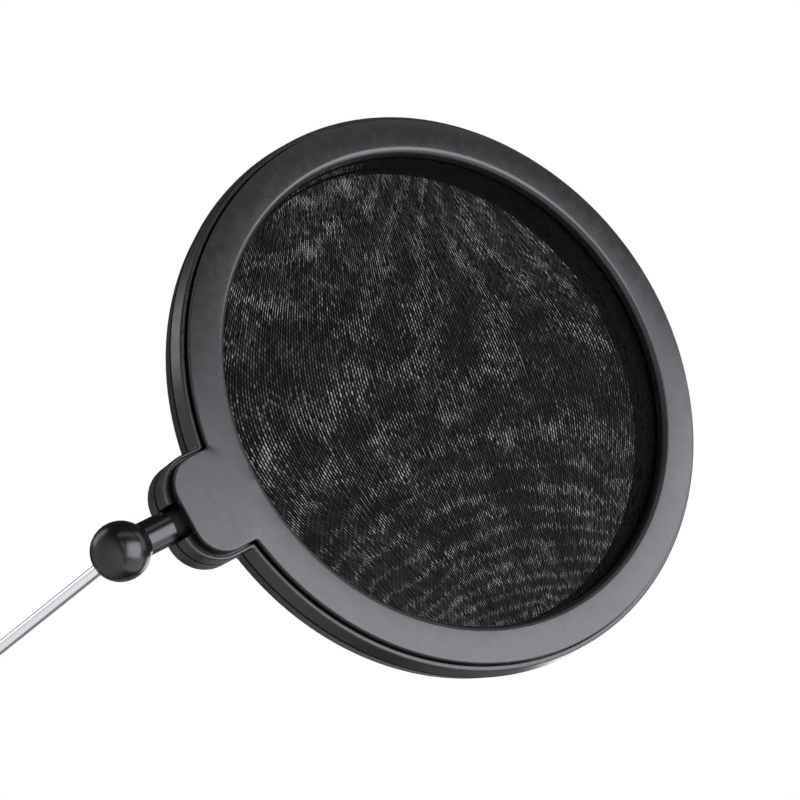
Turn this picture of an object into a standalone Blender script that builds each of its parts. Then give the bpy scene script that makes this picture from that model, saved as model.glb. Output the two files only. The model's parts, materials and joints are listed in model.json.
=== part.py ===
"""A round double-mesh pop filter on a ball joint and a thin rod.

Two screen housings close on each other at a mid-plane, and each carries a mesh on a hoop under a bezel.
Below them a boss turns on a stem, the stem ends in a ball socket, and the socket holds the ball of a rod.
Metres, +Z up. The screen faces -Y and the rod leads back and down to the origin at its free end.
"""

import math

import bmesh
import bpy
from mathutils import Matrix, Vector

# Rod and ball joint
ROD_LENGTH = 0.110  # from the ball's centre to the free end
ROD_RADIUS = 0.0015
ROD_CHAMFER = 0.0003
ROD_PITCH = math.radians(23.5)  # below the horizontal
ROD_YAW = math.radians(6.0)  # towards +X
BALL_RADIUS = 0.0039
SEAT_INNER_RADIUS = 0.0042
SEAT_OUTER_RADIUS = 0.0050
SEAT_EDGE = 0.0002  # of either seat, from the ball's equator
SOCKET_RADIUS = 0.0053
SPRING_POCKET_RADIUS, SPRING_POCKET_FLOOR = 0.0029, -0.0061
SPRING_RADIUS, SPRING_HOLE_RADIUS = 0.0026, 0.0012
SPRING_TOP, SPRING_DISH, SPRING_THICKNESS = -0.00525, 0.00025, 0.00035
BORE_FLOOR = 0.0007  # of the rod's hole in the ball, from the ball's centre
SHELL_RADIUS = 0.00733
SEAM_HEIGHT = 0.0031  # of the cap's seam, from the ball's centre towards the rod
TILT = math.radians(18)  # either way, which the cap's mouth has to leave free

# Stem and its bearing in the boss, as heights from the screen's centre
STEM_REACH = 0.1045  # from the ball's centre up to the screen's centre
SHANK_RADIUS = 0.00425
SHANK_TOP = -0.0909
NECK_RADIUS = 0.0034
NECK_TOP = -0.0840
JOURNAL_RADIUS = 0.0030
JOURNAL_TOP = -0.0767
CLIP_GROOVE_RADIUS = 0.0024
CLIP_THICKNESS = 0.0008
CLIP_LOW = -0.0788
WASHER_LOW = -0.0837
WASHER_THICKNESS = 0.0005
BUSH_LOW, BUSH_TOP = -0.0829, -0.0791
BUSH_RADIUS = 0.0053
POCKET_RADIUS = 0.0056
POCKET_LOW, POCKET_TOP = -0.0843, -0.0764
STEM_OPENING_RADIUS = 0.0045
STEM_SLOT_TOP = -0.0865

# Screen rings, as distances forward from the mid-plane
FACE = 0.0072
PLATE_BACK = 0.00555
BAND_FRONT = 0.00515
SKIRT_BACK = 0.0029
LIP_BACK = 0.0036
WEB_FRONT, WEB_BACK = 0.0026, 0.0014
MESH_FRONT, MESH_THICKNESS = 0.0033, 0.0003
HOOP_FRONT, HOOP_BACK = 0.0048, 0.0029

# Screen rings, as radii
BEZEL_RADIUS = 0.0755
BEZEL_EDGE = 0.0004
SKIRT_RADIUS, SKIRT_INNER_RADIUS = 0.0742, 0.0730
MOUTH_RADIUS, MOUTH_FILLET = 0.0657, 0.0015
REAR_MOUTH_RADIUS, REAR_MOUTH_FILLET = 0.0650, 0.0006
MOUTH_STEPS = 3
LIP_THICKNESS = 0.0016
BAND_FRONT_RADIUS, BAND_SEAM_RADIUS = 0.0770, 0.0778
BAND_THICKNESS = 0.0016
CHANNEL_RADIUS = 0.0757
WINDOW_RADIUS = 0.0654
WINDOW_WALL = 0.0014
HOOP_RADIUS, HOOP_INNER_RADIUS = 0.0727, 0.0705
MESH_RADIUS = 0.0702

# Boss below the rings, and the bezel's tab over it
BOSS_HALF_WIDTH, BOSS_BOTTOM, BOSS_CORNER = 0.0140, -0.0908, 0.0100
BOSS_TOP = -0.0700
BOSS_WALL = 0.0009  # round the tab
BOSS_FLOOR = 0.0040  # under the tab, forward of the mid-plane
TAB_HALF_WIDTH, TAB_BOTTOM, TAB_CORNER = 0.0127, -0.0880, 0.0080
SCREW_X, SCREW_Z = 0.0096, -0.0820
SCREW_RADIUS, SCREW_HOLE_RADIUS = 0.0010, 0.0013
HEAD_RADIUS, HEAD_HOLE_RADIUS = 0.0019, 0.0022
HEAD_HEIGHT, HEAD_SEAT = 0.0014, 0.0034
SCREW_TIP, PILOT_DEPTH = 0.0033, 0.0036

GAP = 0.0003  # between pieces that touch
HALF_GAP = GAP / 2
RING_SEGMENTS = 72
SMALL_SEGMENTS = 24
ARC_STEPS = 4
CORNER_STEPS = 6
MERGE = 0.00001

ROD_DIRECTION = Vector(
    (
        math.cos(ROD_PITCH) * math.sin(ROD_YAW),
        math.cos(ROD_PITCH) * math.cos(ROD_YAW),
        -math.sin(ROD_PITCH),
    )
)
BALL_CENTRE = -ROD_LENGTH * ROD_DIRECTION
SCREEN_CENTRE = BALL_CENTRE + Vector((0, 0, STEM_REACH))
FORWARD = Matrix.Rotation(math.radians(90), 4, "X")  # turns a ring's own +Z to the front
BACKWARD = Matrix.Rotation(math.radians(180), 4, "Z") @ FORWARD

MATERIALS = {  # colour, roughness, metallic
    "black_plastic": ((0.045, 0.045, 0.048), 0.45, 0.0),
    "gloss_plastic": ((0.012, 0.012, 0.013), 0.25, 0.0),
    "nylon_mesh": ((0.020, 0.020, 0.022), 0.60, 0.0),
    "hoop_plastic": ((0.060, 0.060, 0.065), 0.50, 0.0),
    "acetal": ((0.720, 0.710, 0.680), 0.40, 0.0),
    "spring_steel": ((0.550, 0.550, 0.560), 0.30, 1.0),
    "chrome": ((0.900, 0.900, 0.910), 0.06, 1.0),
}


def clear_scene():
    for obj in list(bpy.data.objects):
        bpy.data.objects.remove(obj, do_unlink=True)


def new_collection(name):
    collection = bpy.data.collections.new(name)
    bpy.context.scene.collection.children.link(collection)
    return collection


def make_material(name, colour, roughness, metallic):
    material = bpy.data.materials.new(name)
    material.use_nodes = True
    shader = material.node_tree.nodes["Principled BSDF"]
    shader.inputs["Base Color"].default_value = (*colour, 1)
    shader.inputs["Roughness"].default_value = roughness
    shader.inputs["Metallic"].default_value = metallic
    return material


clear_scene()
PARTS = new_collection("pop_filter")
CUTTERS = new_collection("cutters")
CUTTERS.hide_render = True
made_materials = {name: make_material(name, *look) for name, look in MATERIALS.items()}


def empty(name, location, direction=None):
    """A parent for the pieces that turn about one point. Its +Z lies along direction."""
    obj = bpy.data.objects.new(name, None)
    obj.location = location
    if direction is not None:
        obj.rotation_mode = "QUATERNION"
        obj.rotation_quaternion = direction.to_track_quat("Z", "Y")
    PARTS.objects.link(obj)
    return obj


screen_centre = empty("screen_centre", SCREEN_CENTRE)
ball_centre = empty("ball_centre", BALL_CENTRE, ROD_DIRECTION)


def add(name, mesh, parent, turn, material):
    """The mesh as a part if it has a material, and otherwise as a cutter."""
    obj = bpy.data.objects.new(name, mesh)
    (PARTS if material else CUTTERS).objects.link(obj)
    obj.parent = parent
    obj.matrix_basis = turn
    if material:
        mesh.materials.append(made_materials[material])
    else:
        obj.hide_render = True
        obj.display_type = "WIRE"
    return obj


def turned(name, profile, parent, material=None, turn=Matrix(), segments=SMALL_SEGMENTS):
    """A solid of revolution about its own Z. The profile is (radius, height) points down its outer side.

    It closes on itself, unless its ends are on the axis.
    """
    on_axis = profile[0][0] == 0 and profile[-1][0] == 0
    count = len(profile)
    edges = [(i, (i + 1) % count) for i in range(count - on_axis)]
    mesh = bpy.data.meshes.new(name)
    mesh.from_pydata([(r, 0, h) for r, h in profile], edges, [])
    obj = add(name, mesh, parent, turn, material)
    screw = obj.modifiers.new("turn", "SCREW")
    screw.steps = screw.render_steps = segments
    screw.use_merge_vertices = True
    screw.merge_threshold = MERGE
    screw.use_smooth_shade = True
    return obj


def tube(outer, inner, top, low):
    """The profile of a plain ring."""
    return [(inner, top), (outer, top), (outer, low), (inner, low)]


def disc(radius, top, low):
    """The profile of a plain cylinder."""
    return [(0, top), (radius, top), (radius, low), (0, low)]


def arc(radius, start, end, centre=(0, 0), steps=ARC_STEPS):
    """Points of a circle in a profile, by their angles from the radial direction."""
    angles = [start + (end - start) * i / steps for i in range(steps + 1)]
    return [(centre[0] + radius * math.cos(a), centre[1] + radius * math.sin(a)) for a in angles]


def slab(name, half_width, low_y, high_y, low_z, high_z, corner=0.0, edge=0.0):
    """A block in a ring's own axes, with its two lower corners rounded and its front edges eased."""
    bm = bmesh.new()
    bmesh.ops.create_cube(bm, size=1)
    size = Vector((2 * half_width, high_y - low_y, high_z - low_z))
    middle = Vector((0, (low_y + high_y) / 2, (low_z + high_z) / 2))
    bmesh.ops.transform(bm, matrix=Matrix.LocRotScale(middle, None, size), verts=bm.verts)
    if corner:
        lower = [e for e in bm.edges if all(v.co.y < middle.y for v in e.verts)]
        upright = [e for e in lower if abs(e.verts[0].co.z - e.verts[1].co.z) > size.z / 2]
        bmesh.ops.bevel(
            bm, geom=upright, offset=corner, segments=CORNER_STEPS, profile=0.5, affect="EDGES"
        )
    if edge:
        front = [e for e in bm.edges if all(v.co.z > middle.z for v in e.verts)]
        bmesh.ops.bevel(bm, geom=front, offset=edge, segments=1, affect="EDGES")
    mesh = bpy.data.meshes.new(name)
    bm.to_mesh(mesh)
    bm.free()
    return mesh


def boolean(obj, operation, *others):
    for other in others:
        modifier = obj.modifiers.new(other.name, "BOOLEAN")
        modifier.operation = operation
        modifier.object = other


def bezel(name, turn, radius, fillet):
    """The clip-on face ring, its rounded mouth, its locating skirt and the tab over the boss."""
    mouth = arc(fillet, math.pi, math.pi / 2, (radius + fillet, FACE - fillet), MOUTH_STEPS)
    profile = [
        *mouth,
        (BEZEL_RADIUS - BEZEL_EDGE, FACE),
        (BEZEL_RADIUS, FACE - BEZEL_EDGE),
        (BEZEL_RADIUS, PLATE_BACK),
        (SKIRT_RADIUS, PLATE_BACK),
        (SKIRT_RADIUS, SKIRT_BACK),
        (SKIRT_INNER_RADIUS, SKIRT_BACK),
        (SKIRT_INNER_RADIUS, PLATE_BACK),
        (radius + LIP_THICKNESS, PLATE_BACK),
        (radius + LIP_THICKNESS, LIP_BACK),
        (radius, LIP_BACK),
    ]
    ring = turned(name, profile, screen_centre, "black_plastic", turn, RING_SEGMENTS)
    tab = slab(
        name + "_tab", TAB_HALF_WIDTH, TAB_BOTTOM, BOSS_TOP, PLATE_BACK, FACE, TAB_CORNER, BEZEL_EDGE
    )
    boolean(ring, "UNION", add(name + "_tab", tab, screen_centre, turn, None))


def housing(name, turn, cuts):
    """One half of the screen's body: the band, the web that the mesh lies on, and its half of the boss."""
    profile = [
        (BAND_FRONT_RADIUS, BAND_FRONT),
        (BAND_SEAM_RADIUS, HALF_GAP),
        (BAND_SEAM_RADIUS - BAND_THICKNESS, HALF_GAP),
        (BAND_SEAM_RADIUS - BAND_THICKNESS, WEB_BACK),
        (WINDOW_RADIUS + WINDOW_WALL, WEB_BACK),
        (WINDOW_RADIUS + WINDOW_WALL, HALF_GAP),
        (WINDOW_RADIUS, HALF_GAP),
        (WINDOW_RADIUS, BAND_FRONT),
    ]
    ring = turned(name, profile, screen_centre, "black_plastic", turn, RING_SEGMENTS)
    boss = slab(
        name + "_boss", BOSS_HALF_WIDTH, BOSS_BOTTOM, BOSS_TOP, HALF_GAP, BAND_FRONT, BOSS_CORNER
    )
    boolean(ring, "UNION", add(name + "_boss", boss, screen_centre, turn, None))
    channel = turned(
        name + "_channel",
        disc(CHANNEL_RADIUS, FACE + GAP, WEB_FRONT),
        screen_centre,
        turn=turn,
        segments=RING_SEGMENTS,
    )
    tray = slab(
        name + "_tray",
        BOSS_HALF_WIDTH - BOSS_WALL,
        BOSS_BOTTOM + BOSS_WALL,
        BOSS_TOP,
        BOSS_FLOOR,
        FACE,
        BOSS_CORNER - BOSS_WALL,
    )
    room = [channel, add(name + "_tray", tray, screen_centre, turn, None)]
    boolean(ring, "DIFFERENCE", *room, *cuts)


def screw_axis(side):
    return Matrix.Translation((side * SCREW_X, 0, SCREW_Z)) @ FORWARD


def screen():
    """The four rings and what they hold between them."""
    bearing = turned(
        "bearing_pocket",
        [
            (0, POCKET_TOP),
            (POCKET_RADIUS, POCKET_TOP),
            (POCKET_RADIUS, POCKET_LOW),
            (STEM_OPENING_RADIUS, POCKET_LOW),
            (STEM_OPENING_RADIUS, BOSS_BOTTOM - STEM_OPENING_RADIUS),
            (0, BOSS_BOTTOM - STEM_OPENING_RADIUS),
        ],
        screen_centre,
    )
    slot_mesh = slab(
        "stem_slot", STEM_OPENING_RADIUS, BOSS_BOTTOM - GAP, STEM_SLOT_TOP, -GAP, BAND_FRONT + GAP
    )
    slot = add("stem_slot", slot_mesh, screen_centre, FORWARD, None)
    holes = [
        turned(
            f"screw_hole_{side:+d}",
            [
                (0, FACE),
                (HEAD_HOLE_RADIUS, FACE),
                (HEAD_HOLE_RADIUS, HEAD_SEAT),
                (SCREW_HOLE_RADIUS, HEAD_SEAT),
                (SCREW_HOLE_RADIUS, -PILOT_DEPTH),
                (0, -PILOT_DEPTH),
            ],
            screen_centre,
            turn=screw_axis(side),
        )
        for side in (-1, 1)
    ]
    halves = (
        ("front", FORWARD, (MOUTH_RADIUS, MOUTH_FILLET), [bearing, slot, *holes]),
        ("rear", BACKWARD, (REAR_MOUTH_RADIUS, REAR_MOUTH_FILLET), [bearing, *holes]),
    )
    for side, turn, mouth, cuts in halves:
        bezel(side + "_bezel", turn, *mouth)
        housing(side + "_housing", turn, cuts)
        turned(
            side + "_mesh",
            disc(MESH_RADIUS, MESH_FRONT, MESH_FRONT - MESH_THICKNESS),
            screen_centre,
            "nylon_mesh",
            turn,
            RING_SEGMENTS,
        )
        turned(
            side + "_hoop",
            tube(HOOP_RADIUS, HOOP_INNER_RADIUS, HOOP_FRONT, HOOP_BACK),
            screen_centre,
            "hoop_plastic",
            turn,
            RING_SEGMENTS,
        )


def boss_screw(name, side):
    head_low = HEAD_SEAT + GAP
    turned(
        name,
        [
            (0, head_low + HEAD_HEIGHT),
            (HEAD_RADIUS, head_low + HEAD_HEIGHT),
            (HEAD_RADIUS, head_low),
            (SCREW_RADIUS, head_low),
            (SCREW_RADIUS, -SCREW_TIP),
            (0, -SCREW_TIP),
        ],
        screen_centre,
        "spring_steel",
        screw_axis(side),
    )


def boss_fittings():
    """What holds the boss together and lets it turn on the stem: two screws, a split bush, washer and clip."""
    boss_screw("boss_screw_left", -1)
    boss_screw("boss_screw_right", 1)
    reach = 2 * BUSH_RADIUS
    for side, low, high in (("front", HALF_GAP, reach), ("rear", -reach, -HALF_GAP)):
        bush = turned(
            "bush_" + side,
            tube(BUSH_RADIUS, JOURNAL_RADIUS + GAP, BUSH_TOP, BUSH_LOW),
            screen_centre,
            "acetal",
        )
        keep_mesh = slab("keep_" + side, reach, BUSH_LOW - GAP, BUSH_TOP + GAP, low, high)
        boolean(bush, "INTERSECT", add("keep_" + side, keep_mesh, screen_centre, FORWARD, None))
    turned(
        "friction_washer",
        tube(BUSH_RADIUS - GAP, JOURNAL_RADIUS + GAP, WASHER_LOW + WASHER_THICKNESS, WASHER_LOW),
        screen_centre,
        "spring_steel",
    )
    clip = turned(
        "stem_clip",
        tube(BUSH_RADIUS - GAP, CLIP_GROOVE_RADIUS + GAP, CLIP_LOW + CLIP_THICKNESS, CLIP_LOW),
        screen_centre,
        "spring_steel",
    )
    mouth_mesh = slab(
        "clip_mouth", CLIP_GROOVE_RADIUS, CLIP_LOW - GAP, CLIP_LOW + CLIP_THICKNESS + GAP, 0, BUSH_RADIUS
    )
    boolean(clip, "DIFFERENCE", add("clip_mouth", mouth_mesh, screen_centre, FORWARD, None))


def stem_and_socket():
    """The stem with its ball shell in one piece, which a cap closes."""
    up = -STEM_REACH  # the ball's centre, from the screen's centre
    groove_low, groove_top = CLIP_LOW - HALF_GAP, CLIP_LOW + CLIP_THICKNESS + HALF_GAP
    shank_angle = math.acos(SHANK_RADIUS / SHELL_RADIUS)
    shell = arc(SHELL_RADIUS, shank_angle, -math.pi / 2, (0, up), steps=2 * ARC_STEPS)
    stem = turned(
        "ball_stem",
        [
            (0, JOURNAL_TOP),
            (JOURNAL_RADIUS, JOURNAL_TOP),
            (JOURNAL_RADIUS, groove_top),
            (CLIP_GROOVE_RADIUS, groove_top),
            (CLIP_GROOVE_RADIUS, groove_low),
            (JOURNAL_RADIUS, groove_low),
            (JOURNAL_RADIUS, NECK_TOP),
            (NECK_RADIUS, NECK_TOP),
            (NECK_RADIUS, SHANK_TOP),
            (SHANK_RADIUS, SHANK_TOP),
            *shell[:-1],
            (0, up - SHELL_RADIUS),
        ],
        screen_centre,
        "gloss_plastic",
    )
    rim = SEAM_HEIGHT - HALF_GAP
    pocket_start = -math.acos(SPRING_POCKET_RADIUS / SOCKET_RADIUS)
    socket = turned(
        "socket",
        [
            (0, SHELL_RADIUS + GAP),
            (SHELL_RADIUS + GAP, SHELL_RADIUS + GAP),
            (SHELL_RADIUS + GAP, rim),
            (SOCKET_RADIUS, rim),
            *arc(SOCKET_RADIUS, 0, pocket_start),
            (SPRING_POCKET_RADIUS, SPRING_POCKET_FLOOR),
            (0, SPRING_POCKET_FLOOR),
        ],
        ball_centre,
    )
    boolean(stem, "DIFFERENCE", socket)


def ball_joint():
    """The rod and its ball, the two seats and spring washer round the ball, and the cap with its flared mouth."""

    def rod_reach(height):
        """How far the rod reaches from the socket's axis at this height when it is tilted."""
        return height * math.tan(TILT) + ROD_RADIUS / math.cos(TILT) + GAP

    bore = ROD_RADIUS + GAP
    bore_angle = math.acos(bore / BALL_RADIUS)
    turned(
        "rod_ball",
        [
            (0, BORE_FLOOR),
            (bore, BORE_FLOOR),
            *arc(BALL_RADIUS, bore_angle, -math.pi / 2, steps=2 * ARC_STEPS)[:-1],
            (0, -BALL_RADIUS),
        ],
        ball_centre,
        "spring_steel",
    )
    turned(
        "rod",
        [
            (0, ROD_LENGTH),
            (ROD_RADIUS - ROD_CHAMFER, ROD_LENGTH),
            (ROD_RADIUS, ROD_LENGTH - ROD_CHAMFER),
            (ROD_RADIUS, BORE_FLOOR + GAP),
            (0, BORE_FLOOR + GAP),
        ],
        ball_centre,
        "chrome",
    )
    cup_angle = -math.asin(SEAT_EDGE / SEAT_OUTER_RADIUS)
    inside_angle = -math.asin(SEAT_EDGE / SEAT_INNER_RADIUS)
    turned(
        "inner_seat",
        [
            (0, -SEAT_INNER_RADIUS),
            *arc(SEAT_INNER_RADIUS, -math.pi / 2, inside_angle)[1:],
            *arc(SEAT_OUTER_RADIUS, cup_angle, -math.pi / 2)[:-1],
            (0, -SEAT_OUTER_RADIUS),
        ],
        ball_centre,
        "acetal",
    )
    seat_top = SEAM_HEIGHT - 2 * HALF_GAP
    turned(
        "outer_seat",
        [
            *arc(SEAT_INNER_RADIUS, -inside_angle, math.asin(seat_top / SEAT_INNER_RADIUS)),
            (SEAT_OUTER_RADIUS, seat_top),
            (SEAT_OUTER_RADIUS, SEAT_EDGE),
        ],
        ball_centre,
        "acetal",
    )
    turned(
        "seat_spring",
        [
            (SPRING_HOLE_RADIUS, SPRING_TOP),
            (SPRING_RADIUS, SPRING_TOP - SPRING_DISH),
            (SPRING_RADIUS, SPRING_TOP - SPRING_DISH - SPRING_THICKNESS),
            (SPRING_HOLE_RADIUS, SPRING_TOP - SPRING_THICKNESS),
        ],
        ball_centre,
        "spring_steel",
    )
    cap_low = SEAM_HEIGHT + HALF_GAP
    mouth = rod_reach(SHELL_RADIUS)
    turned(
        "ball_cap",
        [
            *arc(SHELL_RADIUS, math.acos(mouth / SHELL_RADIUS), math.asin(cap_low / SHELL_RADIUS)),
            (rod_reach(cap_low), cap_low),
        ],
        ball_centre,
        "gloss_plastic",
    )


screen()
boss_fittings()
stem_and_socket()
ball_joint()
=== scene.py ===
"""The looks of a round double-mesh pop filter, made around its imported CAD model.

Metres. A ring piece is made in the ring's own axes, x along the screen, y up and z forward, about the screen's
centre. A turned piece is made about its own +Z. Each piece is then placed, given its material and its CAD body.
"""

import json
import math

import bmesh
import bpy
from mathutils import Matrix, Vector, noise

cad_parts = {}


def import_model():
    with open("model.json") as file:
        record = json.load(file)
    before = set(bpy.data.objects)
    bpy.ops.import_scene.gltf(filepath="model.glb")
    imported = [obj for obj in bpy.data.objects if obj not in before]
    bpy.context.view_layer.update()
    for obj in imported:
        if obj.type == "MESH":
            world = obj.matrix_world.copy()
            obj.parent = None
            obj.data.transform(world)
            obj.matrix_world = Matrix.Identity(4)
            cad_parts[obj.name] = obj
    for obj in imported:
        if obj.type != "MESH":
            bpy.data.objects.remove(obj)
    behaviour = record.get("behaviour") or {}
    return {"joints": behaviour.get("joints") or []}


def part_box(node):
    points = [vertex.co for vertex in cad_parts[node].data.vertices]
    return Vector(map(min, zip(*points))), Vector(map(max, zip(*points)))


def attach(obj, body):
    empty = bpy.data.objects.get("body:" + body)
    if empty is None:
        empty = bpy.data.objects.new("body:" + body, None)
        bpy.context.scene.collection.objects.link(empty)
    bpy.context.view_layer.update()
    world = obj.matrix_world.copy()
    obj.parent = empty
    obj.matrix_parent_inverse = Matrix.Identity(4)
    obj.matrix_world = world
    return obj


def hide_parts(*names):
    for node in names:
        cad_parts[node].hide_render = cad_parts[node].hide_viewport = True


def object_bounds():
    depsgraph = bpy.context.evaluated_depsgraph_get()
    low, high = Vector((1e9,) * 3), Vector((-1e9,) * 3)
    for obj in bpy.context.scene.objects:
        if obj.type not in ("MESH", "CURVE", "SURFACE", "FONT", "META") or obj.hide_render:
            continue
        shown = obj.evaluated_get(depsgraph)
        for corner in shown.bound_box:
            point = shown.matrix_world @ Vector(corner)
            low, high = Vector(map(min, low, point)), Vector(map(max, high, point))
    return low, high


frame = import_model()
cad_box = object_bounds()

MM = 0.001
JOINTS = {joint["name"]: joint for joint in frame["joints"]}
SCREEN_CENTRE = Vector(JOINTS["screen_swivel"]["pos_m"])
BALL_CENTRE = Vector(JOINTS["ball_tilt"]["pos_m"])
ROD_AXIS = Vector(JOINTS["ball_swivel"]["axis"])
ROD_LENGTH = -BALL_CENTRE.dot(ROD_AXIS)
STEM_REACH = SCREEN_CENTRE.z - BALL_CENTRE.z
TILT = math.radians(JOINTS["ball_tilt"]["range_deg"][1])


def half_width(node):
    """Half of a node's width along X, which is the radius of a round one."""
    low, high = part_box(node)
    return (high.x - low.x) / 2


def depth_range(node):
    """How far in front of the screen's mid-plane a node of the front half starts and ends."""
    low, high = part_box(node)
    return SCREEN_CENTRE.y - high.y, SCREEN_CENTRE.y - low.y


def height_range(node):
    """A node's lowest and highest points, from the screen's centre."""
    low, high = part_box(node)
    return low.z - SCREEN_CENTRE.z, high.z - SCREEN_CENTRE.z


# Rings: depths forward from the mid-plane, and radii
SKIRT_BACK, FACE = depth_range("front_bezel")
HALF_GAP, BAND_FRONT = depth_range("front_housing")
MESH_BACK, MESH_FRONT = depth_range("front_mesh")
HOOP_BACK, HOOP_FRONT = depth_range("front_hoop")
PLATE_BACK = BAND_FRONT + 0.4 * MM
LIP_BACK = SKIRT_BACK + 0.7 * MM
WEB_BACK, WEB_FRONT = 1.4 * MM, MESH_BACK - 0.4 * MM
BEZEL_RADIUS = half_width("front_bezel")
BAND_SEAM_RADIUS = half_width("front_housing")
BAND_FRONT_RADIUS = BAND_SEAM_RADIUS - 0.8 * MM
BAND_THICKNESS = 1.6 * MM
CHANNEL_RADIUS = BEZEL_RADIUS + 0.2 * MM
SKIRT_RADIUS = BEZEL_RADIUS - 1.3 * MM
SKIRT_INNER_RADIUS = SKIRT_RADIUS - 1.2 * MM
MOUTH_RADIUS, MOUTH_FILLET = BEZEL_RADIUS - 9.8 * MM, 1.6 * MM
REAR_MOUTH_RADIUS, REAR_MOUTH_FILLET = BEZEL_RADIUS - 10.5 * MM, 0.6 * MM
BEZEL_EDGE = 0.4 * MM
CROWN_RADIUS, CROWN_PEAK = 60 * MM, 71 * MM  # of the face's gentle crown, and where it is highest
CROWN_END_X, CROWN_END_Y, CROWN_END_SLOPE = 6.4 * MM, 70.7 * MM, 0.6  # the line where the tab's flat starts
CROWN_RUN_OUT = 3.0 * MM  # how wide the change is
LIP_THICKNESS = 1.6 * MM
WINDOW_RADIUS = MOUTH_RADIUS - 0.3 * MM
WINDOW_WALL = 1.4 * MM
HOOP_RADIUS = half_width("front_hoop")
HOOP_THICKNESS = 2.2 * MM
MESH_RADIUS = half_width("front_mesh")

# Boss below the rings, and the tab of each bezel over it
BOSS_HALF_WIDTH, BOSS_CORNER = 14.0 * MM, 10.0 * MM
BOSS_BOTTOM = height_range("front_housing")[0]
BOSS_WALL = 0.9 * MM  # round the tab
BOSS_FLOOR = 4.0 * MM  # under the tab, forward of the mid-plane
TAB_HALF_WIDTH, TAB_CORNER = 12.7 * MM, 8.0 * MM
TAB_BOTTOM = height_range("front_bezel")[0]
SCREW_X, SCREW_Z = 9.6 * MM, -82.0 * MM
SCREW_HOLE_RADIUS, HEAD_HOLE_RADIUS = 1.3 * MM, 2.2 * MM
HEAD_SEAT, PILOT_DEPTH = 3.4 * MM, 3.6 * MM  # forward of the mid-plane, and behind it

# Stem and ball joint: heights from the screen's centre, and radii
JOURNAL_TOP = height_range("ball_stem")[1]
JOURNAL_RADIUS = 3.0 * MM
SHANK_RADIUS, SHANK_TOP = 4.25 * MM, -90.9 * MM
NECK_RADIUS, NECK_TOP = 3.4 * MM, -84.0 * MM
CLIP_GROOVE_RADIUS = 2.4 * MM
CLIP_LOW, CLIP_HIGH = height_range("stem_clip")
WASHER_LOW, WASHER_HIGH = height_range("friction_washer")
BUSH_LOW, BUSH_HIGH = height_range("bush_front")
BUSH_RADIUS = half_width("bush_front")
POCKET_RADIUS = BUSH_RADIUS + 0.3 * MM
POCKET_LOW, POCKET_TOP = -84.3 * MM, JOURNAL_TOP + 0.3 * MM
OPENING_RADIUS = 4.5 * MM
SLOT_TOP = -86.5 * MM
SHELL_RADIUS = half_width("ball_stem")
SOCKET_RADIUS = 5.3 * MM
SEAM_HEIGHT = 3.1 * MM
ROD_RADIUS = 1.5 * MM
BALL_RADIUS = half_width("rod_ball")
SEAT_INNER_RADIUS, SEAT_OUTER_RADIUS = 4.2 * MM, 5.0 * MM
SPRING_POCKET_RADIUS, SPRING_POCKET_FLOOR = 2.9 * MM, -6.1 * MM
SPRING_RADIUS, SPRING_HOLE_RADIUS = 2.6 * MM, 1.2 * MM
SPRING_TOP, SPRING_DISH, SPRING_THICKNESS = -5.25 * MM, 0.25 * MM, 0.35 * MM
BORE_FLOOR = 0.7 * MM  # of the rod's hole in the ball, from the ball's centre
GAP = 0.3 * MM  # between pieces that touch

FORWARD = Matrix.Translation(SCREEN_CENTRE) @ Matrix.Rotation(math.radians(90), 4, "X")
BACKWARD = FORWARD @ Matrix.Rotation(math.radians(180), 4, "Y")
STEM = Matrix.Translation(SCREEN_CENTRE)
ROD = Matrix.Translation(BALL_CENTRE) @ ROD_AXIS.to_track_quat("Z", "Y").to_matrix().to_4x4()

SEGMENTS, SMALL_SEGMENTS = 192, 96  # round a large or plain turned piece, and round a small one
MERGE = 1e-7  # how close two points are that become one
CREASE = math.radians(35)  # a sharper edge isn't smoothed


# ---------------------------------------------------------------- shapes


def arc(radius, start, end, steps, centre=(0, 0)):
    """Points of a circle, by their angles in radians."""
    angles = [start + (end - start) * i / steps for i in range(steps + 1)]
    return [(centre[0] + radius * math.cos(a), centre[1] + radius * math.sin(a)) for a in angles]


def line(start, end, steps):
    """Evenly spaced points after start, up to but not including end."""
    return [tuple(Vector(start).lerp(Vector(end), i / steps)) for i in range(1, steps)]


def tabbed_ring(radius, half, bottom, corner, inset=0.0):
    """The outline of a ring with a round-cornered tab below it, moved inwards by inset."""
    ring_steps, side_steps, bottom_steps, corner_steps, fillet_steps = 240, 5, 6, 16, 6
    radius, half, bottom = radius - inset, half - inset, bottom + inset
    corner, fillet = corner - inset, 0.6 * MM + inset
    across = half + fillet
    meet = -math.sqrt((radius + fillet) ** 2 - across**2)
    lean = math.atan2(meet, across)
    low = bottom + corner
    right_side = line((half, low), (half, meet), side_steps)
    left_side = [(-x, y) for x, y in reversed(right_side)]
    return [
        *arc(radius, lean, math.pi - lean, ring_steps),
        *arc(fillet, -lean, 0, fillet_steps, (-across, meet))[1:],
        *left_side,
        *arc(corner, math.pi, 1.5 * math.pi, corner_steps, (corner - half, low)),
        *line((corner - half, bottom), (half - corner, bottom), bottom_steps),
        *arc(corner, -math.pi / 2, 0, corner_steps, (half - corner, low)),
        *right_side,
        *arc(fillet, math.pi, math.pi + lean, fillet_steps, (across, meet))[:-1],
    ]


def ring_like(outline, radius):
    """A circle with a point at the same bearing as each point of the outline."""
    return [(radius * x / math.hypot(x, y), radius * y / math.hypot(x, y)) for x, y in outline]


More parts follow.
